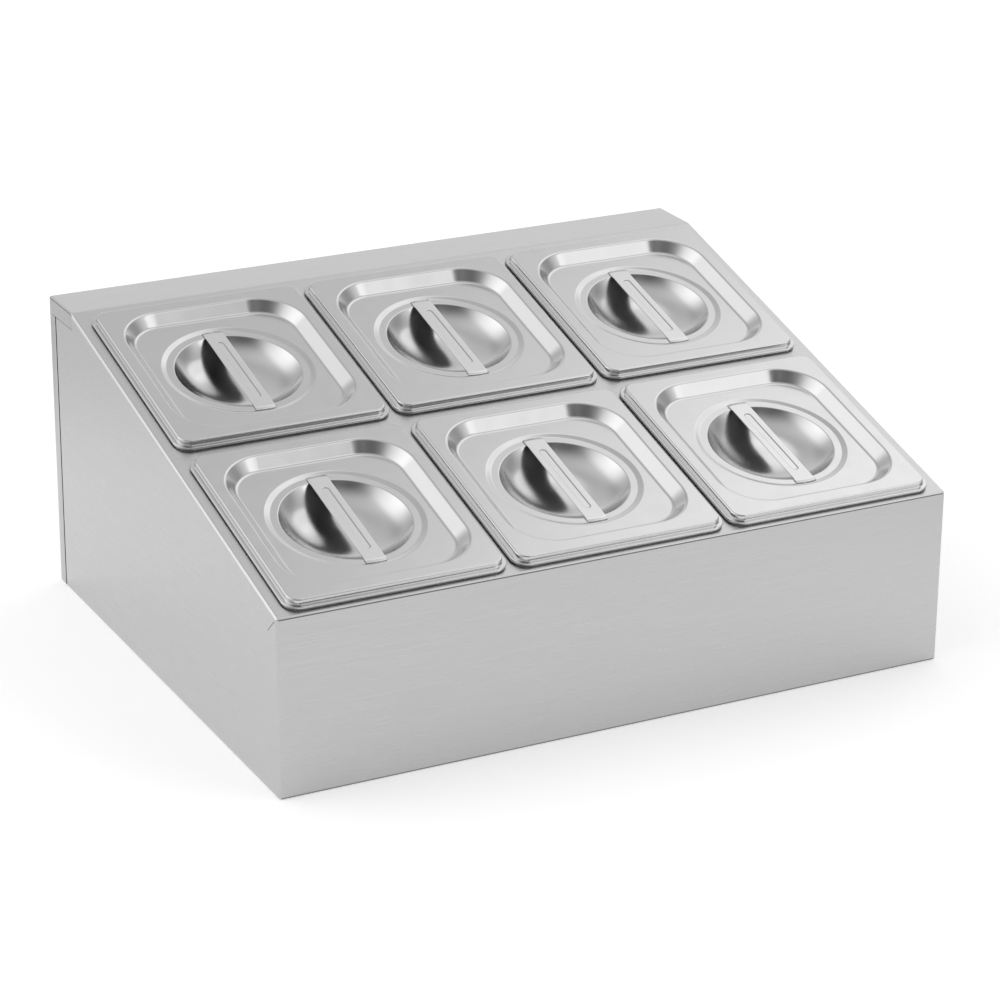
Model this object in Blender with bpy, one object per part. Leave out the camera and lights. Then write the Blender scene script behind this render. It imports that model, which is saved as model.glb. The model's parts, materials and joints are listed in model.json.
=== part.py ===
# Counter topping station: a folded stainless steel stand that holds six small food pans on a sloped
# deck, each pan under its own lid. Metres, +Z up, the front faces -Y. The origin is on the table, under
# the middle of the stand.
import math

import bmesh
import bpy
from mathutils import Matrix

# Food pan, the standard one-sixth size, with its short side across the stand
PAN_RIM_WIDTH = 0.1586
PAN_RIM_LENGTH = 0.1726
PAN_RIM_CORNER = 0.0098
PAN_RIM_LEDGE = 0.0063
PAN_RIM_TURN = 0.0009
PAN_SHEET = 0.0007
PAN_DEPTH = 0.100
PAN_WALL_DRAFT = 0.0065
PAN_WALL_CORNER = 0.018
PAN_BOTTOM_FILLET = 0.008
PAN_RIM_FILLET = 0.0015

# Lid, with the widths of its steps from the lip inwards to the round bowl
LID_SHEET = 0.0008
LID_LIP_OVERHANG = 0.0017
LID_LIP = 0.0032
LID_BORDER = 0.0091
LID_END_BORDER = 0.0108
LID_WELL_STEP = 0.0077
LID_FLOOR = 0.0063
LID_RING_STEP = 0.0034
LID_RING_FLAT = 0.0058
LID_EDGE_HEIGHT = 0.0046
LID_WELL_DEPTH = 0.0077
LID_RING_DEPTH = 0.001
LID_BOWL_DEPTH = 0.0125
LID_WELL_CORNER = 0.034
# How flat the bowl's bottom is: 2 gives an evenly curved dish, more gives a flatter bottom and steeper sides
LID_BOWL_FLATNESS = 4.3

# Handle strip across the bowl, spot-welded on the ring
HANDLE_WIDTH = 0.015
HANDLE_THICKNESS = 0.0008
HANDLE_END_MARGIN = 0.0005
GROOVE_WIDTH = 0.005
GROOVE_LENGTH = 0.072
GROOVE_DEPTH = 0.0004

# Layout of the pans on the deck
COLUMNS = ("left", "middle", "right")
ROWS = ("front", "back")
LID_SPACING_ACROSS = 0.0035
LID_SPACING_ALONG = 0.011
SIDE_MARGIN = 0.0085
FRONT_MARGIN = 0.0035
BACK_MARGIN = 0.0107

# Stand
DECK_SLOPE = math.radians(14.6)
FRONT_HEIGHT = 0.129
SHELF_DEPTH = 0.045
STAND_SHEET = 0.001
BEND_RADIUS = 0.0015
SHELF_TAB = 0.0125
SIDE_FLANGE = 0.012
FOOT_FLANGE = 0.012
BACK_RETURN = 0.0125
BACK_SLIT = 0.0008
LAP_WIDTH = 0.008
RELIEF_LENGTH = 0.0185
RELIEF_WIDTH = 0.0004
RELIEF_SAG = 0.0015
CUTOUT_CLEARANCE = 0.0008

# Clearance between pieces that touch or rest on each other
SEAT = 0.0003

# Fineness of bends, rounded corners and arcs, and the angle that stays a sharp edge
BEND_STEPS = 3
CORNER_STEPS = 5
BOWL_STEPS = 7
END_STEPS = 4
GROOVE_END_STEPS = 6
RELIEF_STEPS = 4
SHARP_ANGLE = math.radians(35)

# Sizes that follow from those above
lid_width = PAN_RIM_WIDTH + 2 * LID_LIP_OVERHANG
lid_length = PAN_RIM_LENGTH + 2 * LID_LIP_OVERHANG
pitch_across = lid_width + LID_SPACING_ACROSS
pitch_along = lid_length + LID_SPACING_ALONG
stand_width = len(COLUMNS) * pitch_across - LID_SPACING_ACROSS + 2 * SIDE_MARGIN
deck_length = FRONT_MARGIN + len(ROWS) * pitch_along - LID_SPACING_ALONG + BACK_MARGIN
stand_depth = deck_length * math.cos(DECK_SLOPE) + SHELF_DEPTH
back_height = FRONT_HEIGHT + deck_length * math.sin(DECK_SLOPE)
front_y = -stand_depth / 2
back_y = stand_depth / 2
shelf_y = back_y - SHELF_DEPTH
side_x = stand_width / 2
tab_bottom = back_height - SHELF_TAB
rim_top = SEAT + PAN_RIM_TURN + PAN_SHEET
lip_bottom = rim_top + SEAT
lid_top = lip_bottom + LID_EDGE_HEIGHT
lid_floor = lid_top - LID_WELL_DEPTH
ring_top = lid_floor - LID_RING_DEPTH
edge_reach = lid_width / 2 - LID_LIP
well_reach = edge_reach - LID_BORDER
well_length = lid_length - 2 * (LID_LIP + LID_END_BORDER)
floor_reach = well_reach - LID_WELL_STEP
ring_radius = floor_reach - LID_FLOOR
ring_flat_radius = ring_radius - LID_RING_STEP
bowl_radius = ring_flat_radius - LID_RING_FLAT

# How far a cutter runs past what it cuts
OVERCUT = 0.002


def clear_scene():
    for obj in list(bpy.data.objects):
        bpy.data.objects.remove(obj, do_unlink=True)


def steel(name, shade, roughness):
    material = bpy.data.materials.new(name)
    material.use_nodes = True
    shader = material.node_tree.nodes["Principled BSDF"]
    shader.inputs["Base Color"].default_value = (shade, shade, shade, 1)
    shader.inputs["Metallic"].default_value = 1
    shader.inputs["Roughness"].default_value = roughness
    return material


def add_object(name, mesh, parent=None):
    obj = bpy.data.objects.new(name, mesh)
    bpy.context.scene.collection.objects.link(obj)
    obj.parent = parent
    return obj


def mesh_from(bm, name):
    bmesh.ops.recalc_face_normals(bm, faces=bm.faces)
    mesh = bpy.data.meshes.new(name)
    bm.to_mesh(mesh)
    bm.free()
    return mesh


def offset_path(path, distance):
    # The path moved to its right-hand side, with mitred corners
    normals = []
    for (a, b), (c, d) in zip(path, path[1:]):
        length = math.hypot(c - a, d - b)
        normals.append(((d - b) / length, (a - c) / length))
    before = [normals[0]] + normals
    after = normals + [normals[-1]]
    moved = []
    for (a, b), (p, q), (r, s) in zip(path, before, after):
        reach = distance / (1 + p * r + q * s)
        moved.append((a + (p + r) * reach, b + (q + s) * reach))
    return moved


def sheet_section(path, thickness):
    return path + offset_path(path, thickness)[::-1]


def extruded(points, travel):
    # A solid from a flat outline of points, drawn out along the travel
    bm = bmesh.new()
    face = bm.faces.new([bm.verts.new(point) for point in points])
    made = bmesh.ops.extrude_face_region(bm, geom=[face])
    moved = [v for v in made["geom"] if isinstance(v, bmesh.types.BMVert)]
    bmesh.ops.translate(bm, verts=moved, vec=travel)
    return bm


def prism_across(outline, low_x, high_x):
    # A solid with the given outline in Y and Z, from low_x to high_x
    return extruded([(low_x, y, z) for y, z in outline], (high_x - low_x, 0, 0))


def prism_up(outline, low_z, high_z):
    # A solid with the given outline in X and Y, from low_z to high_z
    return extruded([(x, y, low_z) for x, y in outline], (0, 0, high_z - low_z))


def box_outline(low_y, high_y, low_z, high_z):
    return [(low_y, low_z), (high_y, low_z), (high_y, high_z), (low_y, high_z)]


def combine(target, tool_bm, operation):
    # Joins, cuts or trims the target by a solid that is used up
    tool = add_object("tool", mesh_from(tool_bm, "tool"))
    modifier = target.modifiers.new(operation.lower(), "BOOLEAN")
    modifier.operation = operation
    modifier.solver = "EXACT"
    modifier.object = tool
    graph = bpy.context.evaluated_depsgraph_get()
    mesh = bpy.data.meshes.new_from_object(target.evaluated_get(graph))
    target.modifiers.remove(modifier)
    old = target.data
    target.data = mesh
    bpy.data.meshes.remove(old)
    bpy.data.objects.remove(tool, do_unlink=True)


def deck_height(y, cover):
    # Height of the deck's surface at y, or of what lies square under it by the cover
    return FRONT_HEIGHT + (y - front_y) * math.tan(DECK_SLOPE) - cover / math.cos(DECK_SLOPE)


def bend_line(cover):
    # Where the deck meets the shelf, as seen from what lies under them by the cover
    drop = cover * (1 / math.cos(DECK_SLOPE) - 1)
    return shelf_y + drop / math.tan(DECK_SLOPE)


def rounded_stand(cover):
    # The stand's whole outline as a block with rounded edges, its front, deck and shelf set in by the cover
    front = front_y + cover
    outline = [
        (front, 0),
        (front, deck_height(front, cover)),
        (bend_line(cover), back_height - cover),
        (back_y, back_height - cover),
        (back_y, 0),
    ]
    bm = prism_across(outline, -side_x, side_x)
    bmesh.ops.bevel(
        bm, geom=bm.edges[:] + bm.verts[:], offset=BEND_RADIUS, segments=BEND_STEPS, profile=0.5, affect="EDGES"
    )
    return bm


def add_solid(bm, solid):
    # Puts a second, separate solid beside those that bm holds
    mesh = mesh_from(solid, "part")
    bm.from_mesh(mesh)
    bpy.data.meshes.remove(mesh)


def ring_points(reach, shape, z):
    # A rounded rectangle, or a circle where the corner is as large as the reach
    corner = reach - shape["corner_base"]
    half_length = reach + shape["extra_length"]
    count = CORNER_STEPS + 1
    points = []
    for index, (sign_x, sign_y) in enumerate([(1, 1), (-1, 1), (-1, -1), (1, -1)]):
        for step in range(count):
            share = (step + 0.5) / count if corner >= reach else step / CORNER_STEPS
            angle = (index + share) * math.pi / 2
            x = sign_x * (reach - corner) + corner * math.cos(angle)
            y = sign_y * (half_length - corner) + corner * math.sin(angle)
            points.append((x, y, z))
    return points


def rectangle(width, length, corner):
    return {"extra_length": (length - width) / 2, "corner_base": width / 2 - corner}


circle = {"extra_length": 0, "corner_base": 0}
rim_shape = rectangle(PAN_RIM_WIDTH, PAN_RIM_LENGTH, PAN_RIM_CORNER)
lip_shape = rectangle(lid_width, lid_length, PAN_RIM_CORNER + LID_LIP_OVERHANG)
body_width = PAN_RIM_WIDTH - 2 * PAN_RIM_LEDGE
body_length = PAN_RIM_LENGTH - 2 * PAN_RIM_LEDGE
body_shape = rectangle(body_width, body_length, PAN_WALL_CORNER)
well_shape = rectangle(2 * well_reach, well_length, LID_WELL_CORNER)


def loft(rings, name):
    # A closed solid through rings of equal length, with its first and last ring filled
    bm = bmesh.new()
    loops = [[bm.verts.new(point) for point in ring] for ring in rings]
    for low, high in zip(loops, loops[1:]):
        for i in range(len(low)):
            j = (i + 1) % len(low)
            bm.faces.new((low[i], low[j], high[j], high[i]))
    bm.faces.new(loops[0])
    bm.faces.new(loops[-1])
    return mesh_from(bm, name)


def pressed_sheet(name, profile, thickness):
    # Sheet pressed to a profile of (reach, height, shape), from its middle out
    path = [(reach, z) for reach, z, shape in profile]
    shapes = [shape for reach, z, shape in profile]
    under = offset_path(path, thickness)
    upper_rings = [ring_points(a, shape, z) for (a, z), shape in zip(path, shapes)]
    under_rings = [ring_points(a, shape, z) for (a, z), shape in zip(under, shapes)]
    mesh = loft(upper_rings + under_rings[::-1], name)
    mesh.shade_smooth()
    mesh.set_sharp_from_angle(angle=SHARP_ANGLE)
    return mesh


def pan_mesh():
    wall_top = body_width / 2 - PAN_SHEET
    wall_bottom = wall_top - PAN_WALL_DRAFT
    floor = rim_top - PAN_DEPTH + PAN_SHEET
    fillet = PAN_BOTTOM_FILLET - PAN_SHEET
    profile = []
    for step in range(BEND_STEPS):
        angle = step / (BEND_STEPS - 1) * math.pi / 2
        reach = wall_bottom - fillet * (1 - math.sin(angle))
        profile.append((reach, floor + fillet * (1 - math.cos(angle)), body_shape))
    profile.append((wall_top, rim_top - PAN_RIM_FILLET, body_shape))
    profile.append((wall_top + PAN_RIM_FILLET, rim_top, body_shape))
    profile.append((PAN_RIM_WIDTH / 2, rim_top, rim_shape))
    profile.append((PAN_RIM_WIDTH / 2, SEAT, rim_shape))
    return pressed_sheet("pan", profile, PAN_SHEET)


def lid_mesh():
    profile = []
    for step in range(1, BOWL_STEPS + 1):
        reach = bowl_radius * step / BOWL_STEPS
        rise = LID_BOWL_DEPTH * (reach / bowl_radius) ** LID_BOWL_FLATNESS
        profile.append((reach, ring_top - LID_BOWL_DEPTH + rise, circle))
    profile.append((ring_flat_radius, ring_top, circle))
    profile.append((ring_radius, lid_floor, circle))
    profile.append((floor_reach, lid_floor, well_shape))
    profile.append((well_reach, lid_top, well_shape))
    profile.append((edge_reach, lid_top, lip_shape))
    profile.append((edge_reach, lip_bottom + LID_SHEET, lip_shape))
    profile.append((lid_width / 2, lip_bottom + LID_SHEET, lip_shape))
    return pressed_sheet("lid", profile, LID_SHEET)


def end_arcs(centre, radius, half_angle, steps):
    # Two arcs, one at each end of a strip along Y, each about its own centre
    points = []
    for turn in (math.pi / 2, -math.pi / 2):
        for step in range(steps + 1):
            angle = turn + half_angle * (2 * step / steps - 1)
            middle = math.copysign(centre, turn)
            points.append((radius * math.cos(angle), middle + radius * math.sin(angle)))
    return points


def handle_mesh():
    reach = ring_flat_radius - HANDLE_END_MARGIN
    half_angle = math.asin(HANDLE_WIDTH / 2 / reach)
    bottom = ring_top + SEAT
    top = bottom + HANDLE_THICKNESS
    outline = end_arcs(0, reach, half_angle, END_STEPS)
    strip = add_object("strip", mesh_from(prism_up(outline, bottom, top), "handle"))
    radius = GROOVE_WIDTH / 2
    groove = end_arcs(GROOVE_LENGTH / 2 - radius, radius, math.pi / 2, GROOVE_END_STEPS)
    combine(strip, prism_up(groove, top - GROOVE_DEPTH, top + OVERCUT), "DIFFERENCE")
    mesh = strip.data
    bpy.data.objects.remove(strip, do_unlink=True)
    return mesh


def place_matrix(row, column):
    # The middle of a pan on the deck's surface, with +Z square to the deck
    across = (column - (len(COLUMNS) - 1) / 2) * pitch_across
    along = FRONT_MARGIN + lid_length / 2 + row * pitch_along
    y = front_y + along * math.cos(DECK_SLOPE)
    z = FRONT_HEIGHT + along * math.sin(DECK_SLOPE)
    return Matrix.Translation((across, y, z)) @ Matrix.Rotation(DECK_SLOPE, 4, "X")


def add_pans_and_lids():
    pieces = {
        "pan": (pan_mesh(), steel("satin stainless steel", 0.60, 0.30)),
        "lid": (lid_mesh(), steel("polished stainless steel", 0.72, 0.16)),
        "lid_handle": (handle_mesh(), steel("handle stainless steel", 0.74, 0.22)),
    }
    for mesh, material in pieces.values():
        mesh.materials.append(material)
    for row, row_name in enumerate(ROWS):
        for column, column_name in enumerate(COLUMNS):
            place = add_object(f"place_{row_name}_{column_name}", None)
            place.matrix_world = place_matrix(row, column)
            for piece, (mesh, material) in pieces.items():
                add_object(f"{piece}_{row_name}_{column_name}", mesh, place)


def cutouts():
    # The six openings that the pans hang in, as solids that run through the deck
    bm = bmesh.new()
    reach = body_width / 2 + CUTOUT_CLEARANCE
    depth = STAND_SHEET + OVERCUT
    outline = [(x, y) for x, y, z in ring_points(reach, body_shape, 0)]
    for row in range(len(ROWS)):
        for column in range(len(COLUMNS)):
            solid = prism_up(outline, -depth, OVERCUT)
            solid.transform(place_matrix(row, column))
            add_solid(bm, solid)
    return bm


def prism_pair(outline, low_x, high_x):
    # The same prism at the right-hand and at the left-hand side
    bm = prism_across(outline, low_x, high_x)
    add_solid(bm, prism_across(outline, -high_x, -low_x))
    return bm


def add_top_sheet(material):
    path = [
        (front_y + FOOT_FLANGE, 0),
        (front_y, 0),
        (front_y, FRONT_HEIGHT),
        (shelf_y, back_height),
        (back_y, back_height),
        (back_y, tab_bottom),
    ]
    section = sheet_section(path, STAND_SHEET)
    sheet = add_object("top_sheet", mesh_from(prism_across(section, -side_x, side_x), "top_sheet"))
    tab = box_outline(shelf_y, back_y, tab_bottom, back_height)
    combine(sheet, prism_pair(tab, side_x - STAND_SHEET, side_x), "UNION")
    # The foot is notched at both ends, where the side panels come down
    notch = box_outline(front_y + STAND_SHEET, front_y + FOOT_FLANGE + OVERCUT, -OVERCUT, STAND_SHEET + SEAT)
    combine(sheet, prism_pair(notch, side_x - STAND_SHEET - SEAT, side_x + OVERCUT), "DIFFERENCE")
    combine(sheet, cutouts(), "DIFFERENCE")
    combine(sheet, rounded_stand(0), "INTERSECT")
    sheet.data.materials.append(material)


def relief_slit():
    # A thin curved cut from the panel's top front corner, halfway between its two folds
    cover = STAND_SHEET + SEAT
    corner_y = front_y + cover
    corner_z = deck_height(corner_y, cover)
    tilt = (DECK_SLOPE - math.pi / 2) / 2
    path = []
    for step in range(-1, RELIEF_STEPS + 1):
        share = step / RELIEF_STEPS
        along = RELIEF_LENGTH * share
        bow = RELIEF_SAG * share**2
        y = corner_y + along * math.cos(tilt) + bow * math.sin(tilt)
        z = corner_z + along * math.sin(tilt) - bow * math.cos(tilt)
        path.append((y, z))
    return sheet_section(offset_path(path, -RELIEF_WIDTH / 2), RELIEF_WIDTH)


def add_side_panel(name, side, material):
    cover = STAND_SHEET + SEAT
    front = front_y + cover
    end_y = back_y - BACK_RETURN - BACK_SLIT
    tab_y = shelf_y - SEAT
    top_z = tab_bottom - SEAT

    def across(low, high):
        # From low to high, both measured inwards from the panel's outer face
        return sorted((side * (side_x - low), side * (side_x - high)))

    plate = [
        (front, 0),
        (front, deck_height(front, cover)),
        (tab_y, deck_height(tab_y, cover)),
        (tab_y, top_z),
        (end_y, top_z),
        (end_y, 0),
    ]
    panel = add_object(name, mesh_from(prism_across(plate, *across(0, STAND_SHEET)), name))
    fold = [(front, cover), plate[1], plate[2]]
    folded = sheet_section(fold, STAND_SHEET)
    combine(panel, prism_across(folded, *across(STAND_SHEET / 2, SIDE_FLANGE)), "UNION")
    foot_end = min(end_y, back_y - FOOT_FLANGE) - SEAT
    foot = box_outline(front_y + FOOT_FLANGE + SEAT, foot_end, 0, STAND_SHEET)
    combine(panel, prism_across(foot, *across(STAND_SHEET / 2, SIDE_FLANGE)), "UNION")
    # Laps behind the back panel's return and behind the shelf's tab, each with its step
    lap_depth = cover + STAND_SHEET
    lap_low = STAND_SHEET + 2 * SEAT
    back_step = box_outline(end_y - STAND_SHEET, end_y, lap_low, top_z - STAND_SHEET)
    back_lap = box_outline(end_y - STAND_SHEET, end_y + LAP_WIDTH, lap_low, top_z - STAND_SHEET)
    tab_step = box_outline(tab_y + LAP_WIDTH, end_y - LAP_WIDTH, top_z - STAND_SHEET, top_z)
    tab_lap = box_outline(tab_y + LAP_WIDTH, end_y - LAP_WIDTH, top_z - STAND_SHEET, top_z + LAP_WIDTH)
    for outline, low, high in (
        (back_step, STAND_SHEET / 2, lap_depth),
        (back_lap, cover, lap_depth),
        (tab_step, STAND_SHEET / 2, lap_depth),
        (tab_lap, cover, lap_depth),
    ):
        combine(panel, prism_across(outline, *across(low, high)), "UNION")
    combine(panel, prism_across(relief_slit(), *across(-OVERCUT, SIDE_FLANGE + OVERCUT)), "DIFFERENCE")
    combine(panel, rounded_stand(cover), "INTERSECT")
    panel.data.materials.append(material)


def add_back_panel(material):
    top_z = tab_bottom - SEAT
    inner_y = back_y - STAND_SHEET
    plate = box_outline(inner_y, back_y, 0, top_z)
    panel = add_object("back_panel", mesh_from(prism_across(plate, -side_x, side_x), "back_panel"))
    middle_y = back_y - STAND_SHEET / 2
    wrap = box_outline(back_y - BACK_RETURN, middle_y, 0, top_z)
    combine(panel, prism_pair(wrap, side_x - STAND_SHEET, side_x), "UNION")
    foot = box_outline(back_y - FOOT_FLANGE, middle_y, 0, STAND_SHEET)
    foot_x = side_x - STAND_SHEET - SEAT
    combine(panel, prism_across(foot, -foot_x, foot_x), "UNION")
    # Lap behind the shelf's back fold, with its step
    lap_y = inner_y - SEAT
    lap_x = side_x - BACK_RETURN - LAP_WIDTH
    step = box_outline(lap_y - STAND_SHEET, middle_y, top_z - STAND_SHEET, top_z)
    lap = box_outline(lap_y - STAND_SHEET, lap_y, top_z - STAND_SHEET, top_z + LAP_WIDTH)
    combine(panel, prism_across(step, -lap_x, lap_x), "UNION")
    combine(panel, prism_across(lap, -lap_x, lap_x), "UNION")
    combine(panel, rounded_stand(0), "INTERSECT")
    panel.data.materials.append(material)


def build():
    clear_scene()
    brushed = steel("brushed stainless steel", 0.62, 0.34)
    add_top_sheet(brushed)
    add_side_panel("left_side_panel", -1, brushed)
    add_side_panel("right_side_panel", 1, brushed)
    add_back_panel(brushed)
    add_pans_and_lids()


build()
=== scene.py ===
import json
import math

import bmesh
import bpy
from mathutils import Matrix, Vector


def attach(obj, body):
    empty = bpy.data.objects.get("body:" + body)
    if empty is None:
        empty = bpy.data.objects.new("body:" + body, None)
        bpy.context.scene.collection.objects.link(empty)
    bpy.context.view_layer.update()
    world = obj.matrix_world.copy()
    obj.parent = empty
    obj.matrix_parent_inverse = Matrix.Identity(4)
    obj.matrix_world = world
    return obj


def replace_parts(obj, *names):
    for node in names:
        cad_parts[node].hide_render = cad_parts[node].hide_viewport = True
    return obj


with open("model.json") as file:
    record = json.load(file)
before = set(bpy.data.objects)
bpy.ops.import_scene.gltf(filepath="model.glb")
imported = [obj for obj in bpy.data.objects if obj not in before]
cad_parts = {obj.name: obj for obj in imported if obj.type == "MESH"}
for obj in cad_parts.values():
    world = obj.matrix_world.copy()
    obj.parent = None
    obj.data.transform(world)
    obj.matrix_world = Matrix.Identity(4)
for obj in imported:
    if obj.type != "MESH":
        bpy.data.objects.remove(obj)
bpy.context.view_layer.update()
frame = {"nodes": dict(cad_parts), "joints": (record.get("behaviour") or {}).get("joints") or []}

mm = 0.001
rows = ("front", "back")
columns = ("left", "middle", "right")
pressedNodes = [f"{row}_{column}" for row in rows for column in columns]


# Adds a node with its settings and links, in a shader tree or a geometry tree
def addNode(tree, kind, inputs=None, **settings):
    node = tree.nodes.new(kind)
    for name, value in settings.items():
        setattr(node, name, value)
    for name, value in (inputs or {}).items():
        if isinstance(value, bpy.types.NodeSocket):
            tree.links.new(value, node.inputs[name])
        else:
            node.inputs[name].default_value = value
    return node


# sRGB hex to the linear values that the shaders use
def hexColour(text):
    parts = [int(text[i:i + 2], 16) / 255 for i in (1, 3, 5)]
    linear = [p / 12.92 if p <= 0.04045 else ((p + 0.055) / 1.055) ** 2.4 for p in parts]
    return (*linear, 1)


def newObject(name, mesh, body=None):
    obj = bpy.data.objects.new(name, mesh)
    bpy.context.scene.collection.objects.link(obj)
    if body:
        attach(obj, body)
    return obj


# The deck's slope is that of the way the pans lift
liftAxis = Vector(next(j["axis"] for j in frame["joints"] if j["type"] == "slide"))
deckTurn = Matrix.Rotation(math.atan2(-liftAxis.y, liftAxis.z), 4, "X")


# A node's lowest and highest corner, measured along and square to the deck
def deckBox(node):
    turned = [deckTurn.inverted() @ v.co for v in frame["nodes"][node].data.vertices]
    low = Vector([min(p[i] for p in turned) for i in range(3)])
    high = Vector([max(p[i] for p in turned) for i in range(3)])
    return low, high


# From a piece's own place, with its top at zero, to its place on the deck
def onDeck(node):
    low, high = deckBox(node)
    return deckTurn @ Matrix.Translation(((low.x + high.x) / 2, (low.y + high.y) / 2, high.z))


print("frame loaded:", len(frame["nodes"]), "nodes")


# Stainless steel, grade 304. Every sheet here is the same metal and differs in how it was worked, and in the
# painted shade, dark lines and highlights that some finishes carry
steelLook = {
    "brushedColour": "#CBCBCB", "brushedRoughness": 0.30,   # No. 4 finish: fine straight scratches, satin
    "pressedColour": "#CFCFCF", "pressedRoughness": 0.17,   # bright sheet from a polished die: it mirrors
    "stripColour": "#DADADA", "stripRoughness": 0.24,       # ground strip, a little duller than the lid
    "panColour": "#CFCFCF", "panRoughness": 0.28,           # drawn deep, and so more matt than the lid
    "underStripShadeColour": "#606060", "underStripShadeRoughness": 0.42,         # painted shade: the strip's underside is coloured dark for the shade under it
    "cutColour": "#1C1C1C", "cutRoughness": 0.55,           # painted shade: near black and dull, for the shade on sheared edges, rim undersides and laps in slits
    "bendColour": "#DEDEDE", "bendRoughness": 0.20,         # painted highlight: outer bends along the deck's sides, lighter and smoother
    "creaseColour": "#7C7C7C", "creaseRoughness": 0.40,     # painted dark line on the front bend and the shelf's side bends, for the dark reflection there; also matt
    "grooveColour": "#9A9A9A", "grooveRoughness": 0.40,     # painted shade on the groove walls, where shade falls in the groove; also the weld spots' steel
    "anisotropy": 0.6,            # scratches spread a reflection across themselves
    "grainWidth": 0.45 * mm,      # real scratches are about 0.02 mm apart and would not show
    "grainLength": 38 * mm,
    "grainRelief": 0.06, "grainDepth": 0.05 * mm, "grainDull": (-0.04, 0.06),
    "dieWaves": 70.0,             # waves in a metre, about 14 mm each
    "dieRelief": 0.25, "panRelief": 0.05, "dieDepth": 0.1 * mm, "dieDull": (-0.02, 0.03),
    "noiseReach": (0.3, 0.7),     # the noise hardly leaves these values
}


def newSteel(name, finish):
    material = bpy.data.materials.new(name)
    material.use_nodes = True
    shader = material.node_tree.nodes["Principled BSDF"]
    shader.inputs["Base Color"].default_value = hexColour(steelLook[finish + "Colour"])
    shader.inputs["Metallic"].default_value = 1
    shader.inputs["Roughness"].default_value = steelLook[finish + "Roughness"]
    return material, material.node_tree, shader


# Where the noise is high the sheet stands a little higher and is a little duller
def addUnevenness(tree, shader, noise, roughness, dull, relief, depth):
    low, high = steelLook["noiseReach"]
    rough = addNode(tree, "ShaderNodeMapRange", {
        "Value": noise, "From Min": low, "From Max": high,
        "To Min": roughness + dull[0], "To Max": roughness + dull[1]})
    tree.links.new(rough.outputs[0], shader.inputs["Roughness"])
    bump = addNode(tree, "ShaderNodeBump", {"Height": noise, "Strength": relief, "Distance": depth})
    tree.links.new(bump.outputs[0], shader.inputs["Normal"])


# Scratches run along one axis: thin across it, long along it
def brushedSteel(name, along):
    material, tree, shader = newSteel(name, "brushed")
    place = addNode(tree, "ShaderNodeTexCoord").outputs["Object"]
    scale = [1 / steelLook["grainWidth"]] * 3
    scale[along] = 1 / steelLook["grainLength"]
    stretched = addNode(tree, "ShaderNodeMapping", {"Vector": place, "Scale": scale})
    fine = addNode(tree, "ShaderNodeTexNoise", {"Vector": stretched.outputs[0], "Scale": 1.0, "Detail": 3.0})
    addUnevenness(tree, shader, fine.outputs["Fac"], steelLook["brushedRoughness"],
                  steelLook["grainDull"], steelLook["grainRelief"], steelLook["grainDepth"])
    shader.inputs["Anisotropic"].default_value = steelLook["anisotropy"]
    across = addNode(tree, "ShaderNodeTangent", direction_type="RADIAL", axis="XYZ"[along])
    tree.links.new(across.outputs[0], shader.inputs["Tangent"])
    return material


# Drawn sheet: smooth, with a faint unevenness left by the die that softens what it mirrors
def pressedSteel(name, finish, relief=steelLook["dieRelief"]):
    material, tree, shader = newSteel(name, finish)
    place = addNode(tree, "ShaderNodeTexCoord").outputs["Object"]
    wave = addNode(tree, "ShaderNodeTexNoise", {
        "Vector": place, "Scale": steelLook["dieWaves"], "Detail": 2.0})
    addUnevenness(tree, shader, wave.outputs["Fac"], steelLook[finish + "Roughness"],
                  steelLook["dieDull"], relief, steelLook["dieDepth"])
    return material


acrossSteel = brushedSteel("brushedSteelAcross", 0)
alongSteel = brushedSteel("brushedSteelAlong", 1)
lidSteel = pressedSteel("pressedLidSteel", "pressed")
stripSteel = pressedSteel("groundStripSteel", "strip")
panSteel = pressedSteel("drawnPanSteel", "pan", steelLook["panRelief"])
shadedUnderStripSteel = pressedSteel("paintedShadeUnderStripSteel", "underStripShade")
creviceShadeSteel = pressedSteel("paintedCreviceShadeSteel", "cut")
highlightBendSteel = pressedSteel("paintedHighlightBendSteel", "bend")
grooveShadeAndWeldSteel = pressedSteel("paintedGrooveShadeAndWeldSteel", "groove")
darkLineBendSteel = pressedSteel("paintedDarkBendSteel", "crease")
print("materials made:", len(bpy.data.materials))


# A Geometry Nodes tree with its named inputs. Returns the tree and the sockets of those inputs
def newTree(name, kinds):
    tree = bpy.data.node_groups.new(name, "GeometryNodeTree")
    for socket, kind in kinds.items():
        tree.interface.new_socket(name=socket, in_out="INPUT", socket_type="NodeSocket" + kind)
    tree.interface.new_socket(name="Geometry", in_out="OUTPUT", socket_type="NodeSocketGeometry")
    return tree, addNode(tree, "NodeGroupInput").outputs


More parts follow.
